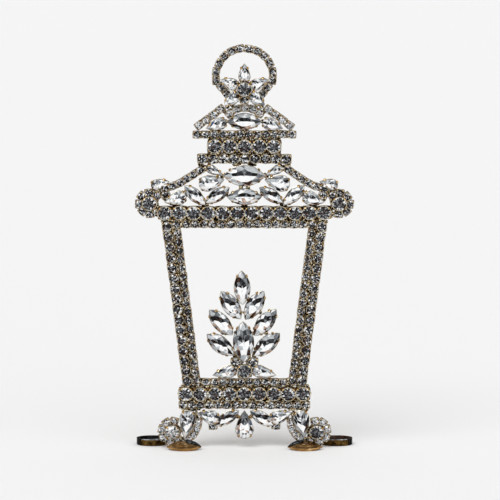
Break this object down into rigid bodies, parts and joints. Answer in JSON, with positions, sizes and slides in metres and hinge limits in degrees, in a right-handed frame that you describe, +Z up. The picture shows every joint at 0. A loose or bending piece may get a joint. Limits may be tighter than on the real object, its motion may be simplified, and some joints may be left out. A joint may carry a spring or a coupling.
{
  "type": "crystal lantern ornament",
  "caption": "Free-standing flat lantern ornament of claw-set crystal stones in brass cups, with a hanger ring, a flame of boat-shaped stones and stone-cup feet.",
  "frame": {"origin": "on the floor, under the middle of the object's bounding box", "axes": "+Z up, the stones face -Y, +X to the viewer's right"},
  "size_m": [0.0964, 0.0214, 0.1794],
  "materials": {
    "stone_chain": "cut clear glass over silver foil in polished brass cups",
    "crystal": "cut clear crystal with a foiled back",
    "cup_brass": "polished raw brass with solder at the back",
    "foot_bronze": "bronze-toned polished metal"
  },
  "bodies": {
    "root": {"base_bottom_row": "stone_chain", "base_row": "stone_chain", "eave_row": "stone_chain", "collar_row": "stone_chain", "neck_row": "stone_chain", "cap_eave_row": "stone_chain", "post_left_outer": "stone_chain", "post_left_inner": "stone_chain", "post_right_outer": "stone_chain", "post_right_inner": "stone_chain", "base_top_row": "stone_chain", "fascia_row": "stone_chain", "hanger_ring": "stone_chain", "finial_star": "stone_chain", "cap_slope_left": "stone_chain", "cap_slope_right": "stone_chain", "cap_arch_row": "stone_chain", "cap_setting": "cup_brass", "cap_centre_crystal": "crystal", "cap_right_crystal": "crystal", "cap_left_crystal": "crystal", "roof_setting": "cup_brass", "roof_lower_crystal": "crystal", "roof_centre_crystal": "crystal", "roof_right_pear_crystal": "crystal", "roof_left_pear_crystal": "crystal", "roof_right_inner_crystal": "crystal", "roof_left_inner_crystal": "crystal", "roof_right_outer_crystal": "crystal", "roof_left_outer_crystal": "crystal", "roof_right_end_crystal": "crystal", "roof_left_end_crystal": "crystal", "roof_slope_left": "stone_chain", "roof_slope_right": "stone_chain", "corner_scroll_left": "stone_chain", "corner_scroll_right": "stone_chain", "flame_setting": "cup_brass", "flame_heart_crystal": "crystal", "flame_tip_crystal": "crystal", "flame_right_low_crystal": "crystal", "flame_left_low_crystal": "crystal", "flame_right_middle_crystal": "crystal", "flame_left_middle_crystal": "crystal", "flame_right_high_crystal": "crystal", "flame_left_high_crystal": "crystal", "apron_setting": "cup_brass", "pendant_crystal": "crystal", "leg_left": "stone_chain", "leg_right": "stone_chain", "rosette_left": "stone_chain", "rosette_right": "stone_chain", "foot_front_left": "foot_bronze", "foot_front_right": "foot_bronze", "foot_rear_left": "foot_bronze", "foot_rear_right": "foot_bronze"}
  },
  "joints": []
}
